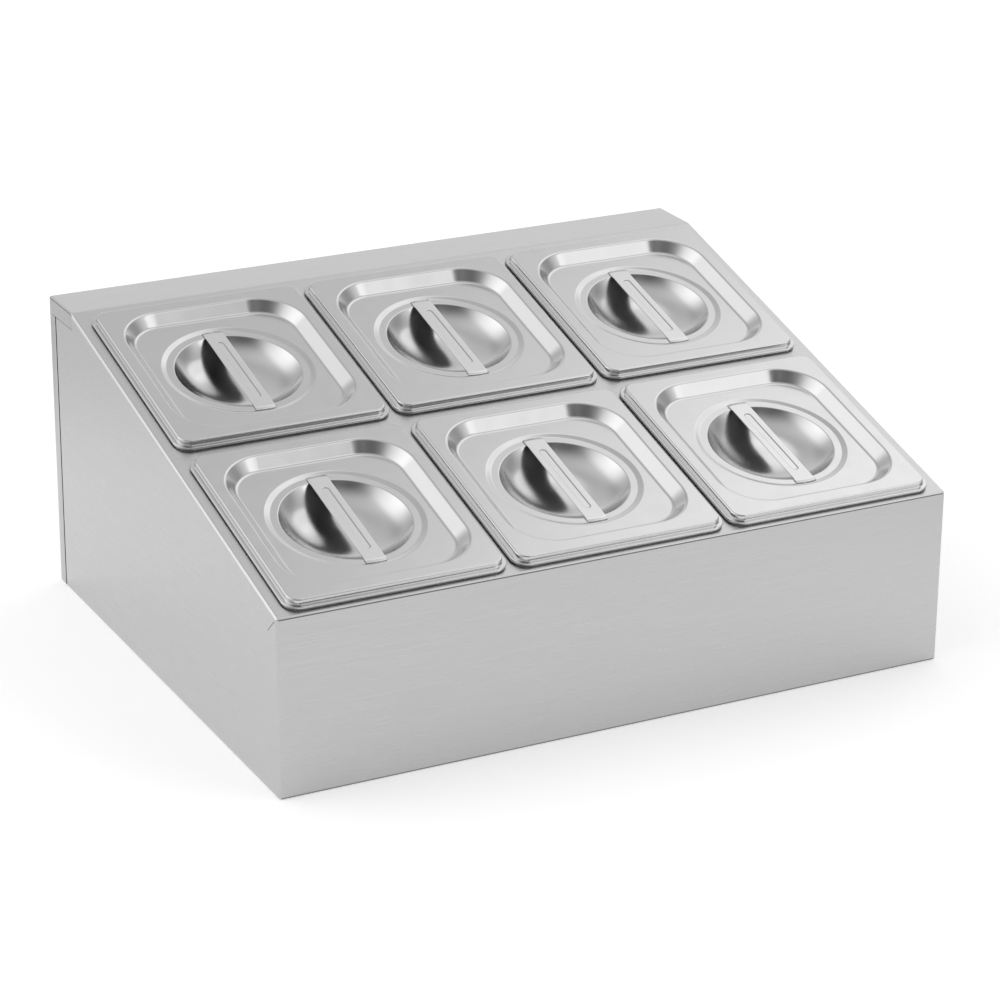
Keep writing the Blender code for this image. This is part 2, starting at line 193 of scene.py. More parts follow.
# Pressed sheet in Geometry Nodes. The object's own points are the profile, from the middle of the
# underside out to the edge and back to the middle of the top: x is the way in from the edge, z the height.
# Each point's form is 0 for the edge's rounded rectangle, 1 for the inner one and 2 for a circle. The
# inner rectangle may be set in further at its two ends.
# A grid with a row for each profile point is bent round: these sums give each point of the grid its column
# and its row, and the sums after them its place.
gridSums = (
    ("openColumns", "MULTIPLY", "Corner Points", 4.0), ("columnCount", "ADD", "openColumns", 1.0),
    ("indexMiddle", "ADD", "index", 0.5), ("columns", "DIVIDE", "indexMiddle", "rowCount"),
    ("column", "FLOOR", "columns", 0.0), ("columnStart", "MULTIPLY", "column", "rowCount"),
    ("row", "SUBTRACT", "index", "columnStart"),
)
pressedSums = (
    ("isRound", "GREATER_THAN", "form", 1.5), ("notEdge", "GREATER_THAN", "form", 0.5),
    ("isInner", "SUBTRACT", "notEdge", "isRound"), ("isEdge", "SUBTRACT", 1.0, "notEdge"),
    # which corner, and how far round it
    ("columnMiddle", "ADD", "column", 0.5), ("corners", "DIVIDE", "columnMiddle", "Corner Points"),
    ("corner", "FLOOR", "corners", 0.0), ("cornerStart", "MULTIPLY", "corner", "Corner Points"),
    ("step", "SUBTRACT", "column", "cornerStart"), ("lastStep", "SUBTRACT", "Corner Points", 1.0),
    ("squareShare", "DIVIDE", "step", "lastStep"), ("stepMiddle", "ADD", "step", 0.5),
    ("roundShare", "DIVIDE", "stepMiddle", "Corner Points"),
    ("shareGap", "SUBTRACT", "roundShare", "squareShare"),
    ("shareShift", "MULTIPLY", "shareGap", "isRound"), ("share", "ADD", "squareShare", "shareShift"),
    ("quarters", "ADD", "corner", "share"), ("angle", "MULTIPLY", "quarters", math.pi / 2),
    ("cornerMiddle", "ADD", "corner", 0.5), ("diagonal", "MULTIPLY", "cornerMiddle", math.pi / 2),
    ("diagonalX", "COSINE", "diagonal", 0.0), ("diagonalY", "SINE", "diagonal", 0.0),
    ("signX", "SIGN", "diagonalX", 0.0), ("signY", "SIGN", "diagonalY", 0.0),
    # the rounded rectangle or circle at this inset
    ("halfWidth", "MULTIPLY", "Width", 0.5), ("reach", "SUBTRACT", "halfWidth", "inset"),
    ("spare", "SUBTRACT", "Length", "Width"), ("halfSpare", "MULTIPLY", "spare", 0.5),
    ("roundSpare", "MULTIPLY", "halfSpare", "isRound"), ("longer", "SUBTRACT", "halfSpare", "roundSpare"),
    ("endWay", "MULTIPLY", "End Inset", "isInner"), ("longReach", "ADD", "reach", "longer"),
    ("reachY", "SUBTRACT", "longReach", "endWay"),
    ("edgeLeft", "SUBTRACT", "Edge Corner", "inset"), ("innerWay", "SUBTRACT", "inset", "Inner Inset"),
    ("innerLeft", "SUBTRACT", "Inner Corner", "innerWay"),
    ("edgeShare", "MULTIPLY", "edgeLeft", "isEdge"), ("innerPart", "MULTIPLY", "innerLeft", "isInner"),
    ("squareRadius", "ADD", "edgeShare", "innerPart"), ("safeRadius", "MAXIMUM", "squareRadius", 0.0),
    ("circle", "MULTIPLY", "reach", "isRound"), ("anyRadius", "ADD", "safeRadius", "circle"),
    ("radius", "MINIMUM", "anyRadius", "reach"),
    ("straightX", "SUBTRACT", "reach", "radius"), ("straightY", "SUBTRACT", "reachY", "radius"),
    ("cosine", "COSINE", "angle", 0.0), ("sine", "SINE", "angle", 0.0),
    ("startX", "MULTIPLY", "signX", "straightX"), ("startY", "MULTIPLY", "signY", "straightY"),
    ("bendX", "MULTIPLY", "radius", "cosine"), ("bendY", "MULTIPLY", "radius", "sine"),
    ("x", "ADD", "startX", "bendX"), ("y", "ADD", "startY", "bendY"),
)


# Works through a table of sums, each named for what it gives, and adds their sockets to the known values
def addSums(tree, sums, known):
    for name, operation, first, second in sums:
        inputs = {0: known.get(first, first), 1: known.get(second, second)}
        known[name] = addNode(tree, "ShaderNodeMath", inputs, operation=operation).outputs[0]


mergeDistance = 0.004 * mm     # closes the seam and the two points in the middle


def pressedTree():
    tree, given = newTree("pressedSheet", {
        "Geometry": "Geometry", "Width": "Float", "Length": "Float", "Edge Corner": "Float",
        "Inner Corner": "Float", "Inner Inset": "Float", "End Inset": "Float", "Corner Points": "Int",
        "Steel": "Material"})
    profile = given["Geometry"]
    known = {socket.name: socket for socket in given if socket.name}
    known["index"] = addNode(tree, "GeometryNodeInputIndex").outputs[0]
    count = addNode(tree, "GeometryNodeAttributeDomainSize", {"Geometry": profile})
    known["rowCount"] = count.outputs["Point Count"]
    addSums(tree, gridSums, known)
    grid = addNode(tree, "GeometryNodeMeshGrid", {
        "Vertices X": known["columnCount"], "Vertices Y": known["rowCount"]})
    place = addNode(tree, "GeometryNodeInputPosition").outputs[0]
    named = addNode(tree, "GeometryNodeInputNamedAttribute", {"Name": "form"}, data_type="FLOAT")
    spot = addNode(tree, "GeometryNodeSampleIndex", {
        "Geometry": profile, 1: place, "Index": known["row"]}, data_type="FLOAT_VECTOR")
    form = addNode(tree, "GeometryNodeSampleIndex", {
        "Geometry": profile, 1: named.outputs[0], "Index": known["row"]}, data_type="FLOAT")
    known["inset"], _, height = addNode(tree, "ShaderNodeSeparateXYZ", {0: spot.outputs[0]}).outputs
    known["form"] = form.outputs[0]
    addSums(tree, pressedSums, known)
    placed = addNode(tree, "ShaderNodeCombineXYZ", {0: known["x"], 1: known["y"], 2: height}).outputs[0]
    shaped = addNode(tree, "GeometryNodeSetPosition", {"Geometry": grid.outputs["Mesh"], "Position": placed})
    closed = addNode(tree, "GeometryNodeMergeByDistance", {
        "Geometry": shaped.outputs[0], "Distance": mergeDistance})
    smooth = addNode(tree, "GeometryNodeSetShadeSmooth", {"Geometry": closed.outputs[0]})
    real = addNode(tree, "GeometryNodeRealizeInstances", {"Geometry": smooth.outputs[0]})
    steel = addNode(tree, "GeometryNodeSetMaterial", {
        "Geometry": real.outputs[0], "Material": given["Steel"]})
    addNode(tree, "NodeGroupOutput", {"Geometry": steel.outputs[0]})
    return tree


# Runs a tree on an object and gives the plain mesh. Inputs are set by their sockets' identifiers
def treeMesh(tree, source, values):
    obj = newObject("source", source)
    modifier = obj.modifiers.new("tree", "NODES")
    modifier.node_group = tree
    for item in tree.interface.items_tree:
        if item.in_out == "INPUT" and item.name in values:
            modifier[item.identifier] = values[item.name]
    graph = bpy.context.evaluated_depsgraph_get()
    mesh = bpy.data.meshes.new_from_object(obj.evaluated_get(graph))
    obj.modifiers.remove(modifier)
    bpy.data.objects.remove(obj)
    return mesh


# Rounds a profile's bends. A bend is (inset, height, radius, form). A flat keeps a guard point close to each
# bend, so that its shading stays flat
def roundedProfile(bends, turnPerStep=math.radians(11), guard=0.25 * mm):
    points = []
    for index, (x, z, radius, form) in enumerate(bends):
        here = Vector((x, z))
        if radius == 0 or index in (0, len(bends) - 1):
            points.append((here, form))
            continue
        before = Vector(bends[index - 1][:2]) - here
        after = Vector(bends[index + 1][:2]) - here
        turn = math.pi - before.angle(after)
        cut = radius * math.tan(turn / 2)
        start = here + before.normalized() * cut
        side = after.normalized() + before.normalized()
        centre = here + side.normalized() * math.hypot(radius, cut)
        steps = max(3, math.ceil(turn / turnPerStep))
        way = 1 if before.cross(after) < 0 else -1
        if before.length > cut + 4 * guard:
            points.append((start + before.normalized() * guard, form))
        for step in range(steps + 1):
            spun = Matrix.Rotation(way * turn * step / steps, 2) @ (start - centre)
            points.append((centre + spun, form))
        if after.length > cut + 4 * guard:
            points.append((here + after.normalized() * (cut + guard), form))
    return points


# The underside lies a sheet's thickness under the top. The profile mesh has both, joined at the edge
def sheetProfile(name, top, thickness, edge):
    under = []
    for index, (here, form) in enumerate(top):
        before = here - top[max(index - 1, 0)][0]
        after = top[min(index + 1, len(top) - 1)][0] - here
        normals = [Vector((d.y, -d.x)).normalized() for d in (before, after) if d.length > 0]
        normal = sum(normals, Vector((0, 0))).normalized()
        under.append((here + normal * (thickness / normal.dot(normals[0])), form))
    outline = under[::-1] + edge + top
    mesh = bpy.data.meshes.new(name)
    lines = [(i, i + 1) for i in range(len(outline) - 1)]
    mesh.from_pydata([(p.x, 0, p.y) for p, form in outline], lines, [])
    forms = mesh.attributes.new("form", "FLOAT", "POINT")
    forms.data.foreach_set("value", [form for p, form in outline])
    return mesh


# Lid, in millimetres, from its edge inwards
lidSizes = {
    "sheet": 0.8, "edgeCorner": 11.5, "edgeHeight": 4.6, "edgeSteps": 6,
    "lip": 3.05, "lipBend": 0.6, "lipTurn": 1.5, "lipTurnBend": 0.6, "wallTop": 3.4, "topBend": 1.2,
    "wellInset": 12.3, "wellEndInset": 1.7, "wellCorner": 34, "wellRun": 7.7, "wellDepth": 7.7,
    "wellTopBend": 2.6, "wellFloorBend": 3.2, "floor": 6.3,
    "ringRun": 3.4, "ringDrop": 1.0, "ringBend": 3.0, "ringFlat": 5.8,
    "bowlDepth": 12.5, "bowlFlatness": 4.3, "bowlBend": 1.2, "bowlSteps": 40,
    "cornerPoints": 26,
}


def lidMesh(tree, width, length):
    s = {name: value * mm for name, value in lidSizes.items()}
    lipZ = s["sheet"] - s["edgeHeight"]
    floorZ = -s["wellDepth"]
    ringZ = floorZ - s["ringDrop"]
    wellIn = s["wellInset"] + s["wellRun"]
    ringIn = wellIn + s["floor"]
    flatIn = ringIn + s["ringRun"]
    bowlIn = flatIn + s["ringFlat"]
    bowlRadius = width / 2 - bowlIn
    half = s["sheet"] / 2
    bends = [
        (0, lipZ - s["lipTurn"], 0, 0),
        (0, lipZ, s["lipTurnBend"], 0),
        (s["lip"], lipZ, s["lipBend"], 0),
        (s["wallTop"], 0, s["topBend"], 0),
        (s["wellInset"], 0, s["wellTopBend"], 1),
        (wellIn, floorZ, s["wellFloorBend"], 1),
        (ringIn, floorZ, s["ringBend"], 2),
        (flatIn, ringZ, s["ringBend"], 2),
        (bowlIn, ringZ, s["bowlBend"], 2),
    ]
    bowlSteps = lidSizes["bowlSteps"]
    for step in range(1, bowlSteps + 1):
        reach = 1 - step / bowlSteps
        sag = s["bowlDepth"] * (1 - reach ** lidSizes["bowlFlatness"])
        bends.append((width / 2 - bowlRadius * reach, ringZ - sag, 0, 2))
    edge = []
    for step in range(1, lidSizes["edgeSteps"]):
        angle = -math.pi * step / lidSizes["edgeSteps"]
        spot = Vector((half + half * math.cos(angle), lipZ - s["lipTurn"] + half * math.sin(angle)))
        edge.append((spot, 0))
    profile = sheetProfile("lid", roundedProfile(bends), s["sheet"], edge)
    return treeMesh(tree, profile, {
        "Width": width, "Length": length, "Edge Corner": s["edgeCorner"], "Inner Corner": s["wellCorner"],
        "Inner Inset": s["wellInset"], "End Inset": s["wellEndInset"],
        "Corner Points": lidSizes["cornerPoints"], "Steel": lidSteel})


# Pan, in millimetres
panSizes = {
    "sheet": 0.7, "rimTurn": 0.9, "rimBend": 0.8, "rimCorner": 9.8, "ledge": 6.3, "rimFillet": 1.8,
    "wallCorner": 18, "draft": 6.5, "depth": 100, "bottomFillet": 7.3, "cornerPoints": 16,
}


def panMesh(tree, width, length):
    s = {name: value * mm for name, value in panSizes.items()}
    wallIn = s["ledge"] + s["sheet"]
    floorZ = s["sheet"] - s["depth"]
    bends = [
        (0, -s["rimTurn"] - s["sheet"], 0, 0),
        (0, 0, s["rimBend"], 0),
        (wallIn, 0, s["rimFillet"], 1),
        (wallIn + s["draft"], floorZ, s["bottomFillet"], 1),
        (width / 2, floorZ, 0, 1),
    ]
    profile = sheetProfile("pan", roundedProfile(bends), s["sheet"], [])
    return treeMesh(tree, profile, {
        "Width": width, "Length": length, "Edge Corner": s["rimCorner"], "Inner Corner": s["wallCorner"],
        "Inner Inset": s["ledge"], "Corner Points": panSizes["cornerPoints"], "Steel": panSteel})


# How far in from the edge the painted crevice shade runs, the height that it stays below, and the height
# below which the outside is painted dark too
creviceShadeSizes = {"lid": (3.2, -3.9, -5.2), "pan": (5.5, -0.35, -0.35)}
creviceShadeWays = {"facingUp": 0.3, "facingDown": -0.5}     # heights of a face's normal


# Painted shade: faces that look down or inwards near the edge, and the sheared edge itself, are near black
# for the shade under the lid's lip and round the pan's rim
def paintCreviceShade(mesh, width, length, reach, lowest, edgeTop):
    mesh.materials.append(creviceShadeSteel)
    for face in mesh.polygons:
        middle, way = face.center, face.normal
        inside = min(width / 2 - abs(middle.x), length / 2 - abs(middle.y))
        if inside > reach * mm or middle.z > lowest * mm or way.z > creviceShadeWays["facingUp"]:
            continue
        outward = way.z > creviceShadeWays["facingDown"] and way.x * middle.x + way.y * middle.y > 0
        if middle.z < edgeTop * mm or not outward:
            face.material_index = 1


# One lid and one pan are pressed, as large as their nodes, and copied to each place
sheetTree = pressedTree()
forms = {}
for kind, pressed in (("lid", lidMesh), ("pan", panMesh)):
    low, high = deckBox(f"{kind}_{pressedNodes[0]}")
    forms[kind] = pressed(sheetTree, high.x - low.x, high.y - low.y)
    paintCreviceShade(forms[kind], high.x - low.x, high.y - low.y, *creviceShadeSizes[kind])
for name in pressedNodes:
    for kind, form in forms.items():
        node = f"{kind}_{name}"
        mesh = form.copy()
        mesh.transform(onDeck(node))
        piece = newObject(f"pressed_{node}", mesh, node)
        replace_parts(piece, node)
print("lids and pans pressed, faces each:", *(len(form.polygons) for form in forms.values()))


# Handle strip with a pressed groove, in millimetres: a grid of points, lowered along the groove
stripSizes = {
    "width": 15, "thickness": 0.8, "reach": 50.8, "edgeRound": 0.2, "burr": 0.04,
    "grooveWidth": 5, "grooveLength": 72, "grooveDepth": 0.5, "grooveWall": 0.5,
    "endRun": 2.4, "endDrop": 0.72, "endSink": 0.27,
    "acrossSteps": 60, "alongSteps": 190, "wallShare": 0.12, "sharpAngle": 50,
}


# Rises smoothly from 0 to 1 as the share does
def eased(share):
    return share * share * (3 - 2 * share)


def stripMesh():
    s = {name: value * mm for name, value in stripSizes.items()}
    acrossSteps, alongSteps = stripSizes["acrossSteps"], stripSizes["alongSteps"]
    halfWidth = s["width"] / 2
    bm = bmesh.new()

    # The strip's ends are round
    def endReach(across):
        return math.sqrt(s["reach"] ** 2 - across**2)

    def point(across, along, z):
        return (across, along * endReach(across), z)

    # 0 along the strip, rising to 1 at its ends, which were pressed down on the lid's ring
    def endShare(across, along):
        return eased(min(max(1 - (1 - abs(along)) * endReach(across) / s["endRun"], 0), 1))

    # 0 outside the groove, rising to 1 on its floor
    def grooveShare(across, along):
        grooveEnd = s["grooveLength"] / 2 - s["grooveWidth"] / 2
        y = max(abs(along * endReach(across)) - grooveEnd, 0)
        inside = s["grooveWidth"] / 2 - math.hypot(across, y)
        return min(max(inside / s["grooveWall"] + 0.5, 0), 1)

    def topHeight(across, along):
        return -s["endDrop"] * endShare(across, along) - s["grooveDepth"] * eased(grooveShare(across, along))

    def lowHeight(across, along):
        return -s["thickness"] - s["endSink"] * endShare(across, along)

    acrossList = [halfWidth * (2 * i / acrossSteps - 1) for i in range(acrossSteps + 1)]
    alongList = [2 * i / alongSteps - 1 for i in range(alongSteps + 1)]
    inner = [a * (1 - s["edgeRound"] / halfWidth) for a in acrossList]
    innerAlong = [a * (1 - s["edgeRound"] / s["reach"]) for a in alongList]
    top = [[bm.verts.new(point(a, b, topHeight(a, b))) for a in inner] for b in innerAlong]
    low = [[bm.verts.new(point(a, b, lowHeight(a, b))) for a in inner] for b in innerAlong]
    for i in range(alongSteps):
        for j in range(acrossSteps):
            upper = bm.faces.new((top[i][j], top[i][j + 1], top[i + 1][j + 1], top[i + 1][j]))
            middle = grooveShare((inner[j] + inner[j + 1]) / 2, (innerAlong[i] + innerAlong[i + 1]) / 2)
            onWall = stripSizes["wallShare"] < middle < 1 - stripSizes["wallShare"]
            # painted shade on the groove walls
            upper.material_index = 2 if onWall else 0
            under = bm.faces.new((low[i][j], low[i + 1][j], low[i + 1][j + 1], low[i][j + 1]))
            # painted shade: the underside is coloured dark for the shade under the strip
            under.material_index = 1

    # The grid's outermost points, once round
    def border(grid):
        around = [grid[0][j] for j in range(acrossSteps)] + [grid[i][-1] for i in range(alongSteps)]
        around += [grid[-1][j] for j in range(acrossSteps, 0, -1)]
        return around + [grid[i][0] for i in range(alongSteps, 0, -1)]

    spots = [(a, alongList[0]) for a in acrossList[:-1]] + [(acrossList[-1], b) for b in alongList[:-1]]
    spots += [(a, alongList[-1]) for a in acrossList[:0:-1]] + [(acrossList[0], b) for b in alongList[:0:-1]]
    innerSpots = [v.co.copy() for v in border(top)]
    rings = [border(top)]
    for turn in (30, 60, 90):
        out, down = math.sin(math.radians(turn)), 1 - math.cos(math.radians(turn))
        ring = []
        for (a, b), near in zip(spots, innerSpots):
            far = Vector(point(a, b, 0))
            here = near.lerp(far, out)
            here.z = near.z - s["edgeRound"] * down
            ring.append(bm.verts.new(here))
        rings.append(ring)
    rings.append([bm.verts.new((v.co.x, v.co.y, lowHeight(a, b) + s["burr"]))
                  for v, (a, b) in zip(rings[-1], spots)])
    rings.append(border(low))
    for upper, lower in zip(rings, rings[1:]):
        for i in range(len(upper)):
            j = (i + 1) % len(upper)
            bm.faces.new((upper[i], lower[i], lower[j], upper[j]))
    mesh = bpy.data.meshes.new("strip")
    bm.to_mesh(mesh)
    bm.free()
    mesh.shade_smooth()
    mesh.set_sharp_from_angle(angle=math.radians(stripSizes["sharpAngle"]))
    for part in (stripSteel, shadedUnderStripSteel, grooveShadeAndWeldSteel):
        mesh.materials.append(part)
    return mesh


# Weld spots, in millimetres and degrees, round both ends of the strip and a little way up its sides,
# repeated by Geometry Nodes. No two are the same size
weldSizes = {
    "spots": 12, "reach": 51.0, "halfAngle": 8.5, "turnShare": 0.75, "sideRun": 10,
    "spotRadius": 0.55, "spotHeight": 0.36, "smallest": 0.45, "largest": 1.35, "level": -0.95,
    "segments": 12, "rings": 8,
}


# The first half of the spots lies along one end, the rest along the other
weldSums = (
    ("count", "MULTIPLY", "Spots", 2.0), ("last", "SUBTRACT", "Spots", 1.0),
    ("end", "GREATER_THAN", "index", "last"), ("lap", "MULTIPLY", "end", "Spots"),
    ("step", "SUBTRACT", "index", "lap"), ("share", "DIVIDE", "step", "last"),
    ("doubled", "MULTIPLY", "share", 2.0), ("way", "SUBTRACT", "doubled", 1.0),
    ("endWay", "DIVIDE", "way", "Turn Share"), ("lowWay", "MAXIMUM", "endWay", -1.0),
    ("turnWay", "MINIMUM", "lowWay", 1.0),
    ("swing", "MULTIPLY", "turnWay", "Half Angle"), ("half", "MULTIPLY", "end", math.pi),
    ("wayLength", "ABSOLUTE", "way", 0.0), ("over", "SUBTRACT", "wayLength", "Turn Share"),
    ("sideWay", "MAXIMUM", "over", 0.0), ("inward", "MULTIPLY", "sideWay", "Side Run"),
    ("turned", "ADD", "half", math.pi / 2), ("angle", "ADD", "turned", "swing"),
    ("cosine", "COSINE", "angle", 0.0), ("sine", "SINE", "angle", 0.0),
    ("x", "MULTIPLY", "cosine", "Reach"), ("outY", "MULTIPLY", "sine", "Reach"),
    ("side", "SIGN", "outY", 0.0), ("backY", "MULTIPLY", "inward", "side"),
    ("y", "SUBTRACT", "outY", "backY"),
)


def weldTree():
    tree, given = newTree("weldSpots", {
        "Geometry": "Geometry", "Spots": "Int", "Reach": "Float", "Half Angle": "Float",
        "Turn Share": "Float", "Side Run": "Float", "Spot Radius": "Float", "Spot Height": "Float",
        "Smallest": "Float", "Largest": "Float", "Seed": "Int", "Steel": "Material"})
    known = {socket.name: socket for socket in given if socket.name}
    known["index"] = addNode(tree, "GeometryNodeInputIndex").outputs[0]
    addSums(tree, weldSums, known)
    line = addNode(tree, "GeometryNodeMeshLine", {"Count": known["count"]}).outputs[0]
    place = addNode(tree, "ShaderNodeCombineXYZ", {0: known["x"], 1: known["y"]}).outputs[0]
    points = addNode(tree, "GeometryNodeSetPosition", {"Geometry": line, "Position": place}).outputs[0]
    ball = addNode(tree, "GeometryNodeMeshUVSphere", {
        "Segments": weldSizes["segments"], "Rings": weldSizes["rings"], "Radius": 1.0}).outputs[0]
    size = addNode(tree, "ShaderNodeCombineXYZ", {
        0: given["Spot Radius"], 1: given["Spot Radius"], 2: given["Spot Height"]}).outputs[0]
    vary = addNode(tree, "FunctionNodeRandomValue", {
        2: given["Smallest"], 3: given["Largest"], "Seed": given["Seed"]}, data_type="FLOAT")
    scale = addNode(tree, "ShaderNodeVectorMath", {0: size, "Scale": vary.outputs[1]}, operation="SCALE")
    spots = addNode(tree, "GeometryNodeInstanceOnPoints", {
        "Points": points, "Instance": ball, "Scale": scale.outputs[0]})
    real = addNode(tree, "GeometryNodeRealizeInstances", {"Geometry": spots.outputs[0]})
    smooth = addNode(tree, "GeometryNodeSetShadeSmooth", {"Geometry": real.outputs[0]})
    steel = addNode(tree, "GeometryNodeSetMaterial", {
        "Geometry": smooth.outputs[0], "Material": given["Steel"]})
    addNode(tree, "NodeGroupOutput", {"Geometry": steel.outputs[0]})
    return tree


stripForm = stripMesh()
spotTree = weldTree()
for number, name in enumerate(pressedNodes):
    node, body = f"lid_handle_{name}", f"lid_{name}"
    mesh = stripForm.copy()
    mesh.transform(onDeck(node))
    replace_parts(newObject(f"ground_{node}", mesh, body), node)
    spots = treeMesh(spotTree, bpy.data.meshes.new("spots"), {
        "Spots": weldSizes["spots"], "Reach": weldSizes["reach"] * mm,
        "Half Angle": math.radians(weldSizes["halfAngle"]), "Turn Share": weldSizes["turnShare"],
        "Side Run": weldSizes["sideRun"] * mm, "Spot Radius": weldSizes["spotRadius"] * mm,
        "Spot Height": weldSizes["spotHeight"] * mm, "Smallest": weldSizes["smallest"],
        "Largest": weldSizes["largest"], "Seed": number, "Steel": grooveShadeAndWeldSteel})
    spots.transform(onDeck(node) @ Matrix.Translation((0, 0, weldSizes["level"] * mm)))
    newObject(f"weld_spots_{name}", spots, body)
print("strips and weld spots made:", len(stripForm.polygons), "faces each strip")


# The stand's folded sheets, with their bends shaded round
standSteels = {"top_sheet": acrossSteel, "back_panel": acrossSteel,
               "left_side_panel": alongSteel, "right_side_panel": alongSteel}
standSizes = {
    "weld": 0.002, "sharpAngle": 35, "flatAngle": 6, "lapIn": 0.6, "slitIn": 12.5, "slitReach": 1.5,
    "returnIn": 1.3, "returnTo": 12.2, "slitOpen": 0.9,
}
# Shares of a face's normal along an axis: hardly any, some, half and most of it
facing = {"none": 0.02, "few": 0.1, "some": 0.2, "half": 0.5, "most": 0.9}
deckNormal = deckTurn.to_3x3() @ Vector((0, 0, 1))
flatWays = [Vector(way) for way in ((1, 0, 0), (0, 1, 0), (0, 0, 1), deckNormal)]


# Bends between the flat sheets: those along the deck's sides get a painted highlight, lighter and smoother,
# and those at the shelf's sides and along the front a painted dark line, and are matt. Seen only through
# their slits, the laps behind the panels and the sheets' ends are painted near black for the shade there, as
# is a cut edge
def markBends(mesh):
    flat = math.cos(math.radians(standSizes["flatAngle"]))
    reach = max(abs(v.co.x) for v in mesh.vertices) - standSizes["lapIn"] * mm
    back = frame["nodes"]["back_panel"].data.vertices
    slitY = max(v.co.y for v in back) - standSizes["slitIn"] * mm
    for face in mesh.polygons:
        way, middle = face.normal, face.center
        sideways, alongY = abs(way.x), abs(way.y)
        bent = all(abs(way.dot(flatWay)) < flat for flatWay in flatWays)
        if bent and alongY < facing["none"] and sideways > facing["most"] and way.z > facing["some"]:
            # painted dark line on the shelf's side bends
            face.material_index = 2
        elif (bent and alongY > facing["none"] and facing["half"] < sideways < facing["most"]
              and way.z > facing["some"]):
            # painted highlight on the deck's side bends
            face.material_index = 1
        elif bent and way.y < -facing["most"] and sideways < facing["few"]:
            # painted dark line on the front bend
            face.material_index = 2
        lap = sideways > facing["most"] and way.x * middle.x > 0 and abs(middle.x) < reach
        if lap or (alongY > facing["most"] and abs(middle.y - slitY) < standSizes["slitReach"] * mm):
            # painted shade: laps and sheet ends seen through the slits are near black
            face.material_index = 3


# The back panel's returns stand a little further off the side panels, which opens the slits between them
def openSlits(bm):
    returnX = max(v.co.x for v in bm.verts) - standSizes["returnIn"] * mm
    returnY = max(v.co.y for v in bm.verts) - standSizes["returnTo"] * mm
    for vert in bm.verts:
        if abs(vert.co.x) > returnX and vert.co.y < returnY:
            vert.co.y += standSizes["slitOpen"] * mm


def foldedSheet(node, steel):
    bm = bmesh.new()
    bm.from_mesh(frame["nodes"][node].data)
    bmesh.ops.remove_doubles(bm, verts=bm.verts, dist=standSizes["weld"] * mm)
    if node == "back_panel":
        openSlits(bm)
    mesh = bpy.data.meshes.new("folded_" + node)
    bm.to_mesh(mesh)
    bm.free()
    mesh.materials.clear()
    for part in (steel, highlightBendSteel, darkLineBendSteel, creviceShadeSteel):
        mesh.materials.append(part)
    markBends(mesh)
    mesh.shade_smooth()
    mesh.set_sharp_from_angle(angle=math.radians(standSizes["sharpAngle"]))
    piece = newObject("folded_" + node, mesh, "stand")
    even = piece.modifiers.new("even", "WEIGHTED_NORMAL")
    even.keep_sharp = True
    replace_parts(piece, node)


for node, steel in standSteels.items():
    foldedSheet(node, steel)
print("stand dressed:", len(standSteels), "sheets")


# Camera, from the photograph, in pixels, millimetres and degrees
cameraPlace = {
    "focalPixels": 3454.2, "imagePixels": 1000, "sensor": 36,
    "azimuth": 27.139, "down": 21.747, "roll": -0.486,
    "x": -1050.0, "y": -2067.1, "z": 1018.3,
    "nearest": 100, "farthest": 50000,
}


def addCamera():
    c = cameraPlace
    data = bpy.data.cameras.new("camera")
    data.sensor_width = c["sensor"]
    data.lens = c["focalPixels"] / c["imagePixels"] * c["sensor"]
    data.clip_start = c["nearest"] * mm
    data.clip_end = c["farthest"] * mm
    camera = bpy.data.objects.new("camera", data)
    bpy.context.scene.collection.objects.link(camera)
    turn = Matrix.Rotation(math.radians(-c["azimuth"]), 4, "Z")
    tilt = Matrix.Rotation(math.radians(90 - c["down"]), 4, "X")
    roll = Matrix.Rotation(math.radians(-c["roll"]), 4, "Z")
    camera.matrix_world = Matrix.Translation(Vector((c["x"], c["y"], c["z"])) * mm) @ turn @ tilt @ roll
    bpy.context.scene.camera = camera


# Studio: a pale floor in a white room, in metres. Soft boxes brighten the room on some sides, and its open
# sides are darker. Each is (azimuth, elevation, half width, half height, softness, strength), in degrees
# seen from the object, azimuth 0 behind it and 90 on its right. Strength is added to the room's own.
studio = {
    "floorColour": "#F2F2F2", "floorSize": 12, "floorLift": 0.37,
    # the floor's painted pool of light, seen only in reflections: its glow and the distances over which it
    # fades
    "mirrorLift": 0.27, "poolNear": 0.53, "poolFar": 0.85,
    "roomLow": 1.184, "roomHigh": 0.536,
    "leftBox": (-71.9, 46.5, 40.4, 18.4, 0.39, 0.40),
    "leftBoxMiddle": (-65, 37.3, 19.1, 45, 0.9, 0.42),
    "frontRightBox": (140.5, 21.3, 12.7, 33.8, 0.2, 0.88),
    "backRightBox": (65.7, 50.2, 17.3, 19.2, 0.2, 0.46),
    "backRightStrip": (46.5, 46, 6, 14, 0.5, 0.2),
    "topRightBox": (95.9, 57.3, 19.4, 6.5, 0.4, 0.20),
    "cameraSide": (-159.8, 26, 37.9, 28.7, 0.6, -0.64),
    "rightSide": (91, 4.1, 23.4, 30, 0.46, -0.55),
    "backLeftSide": (-18.1, 30.9, 20.3, 19.2, 0.72, -0.33),
    "frontSide": (152, 24.2, 22.7, 24.3, 0.24, -0.22),
    "frontLow": (155, 4, 26, 9, 0.3, -0.55),
}


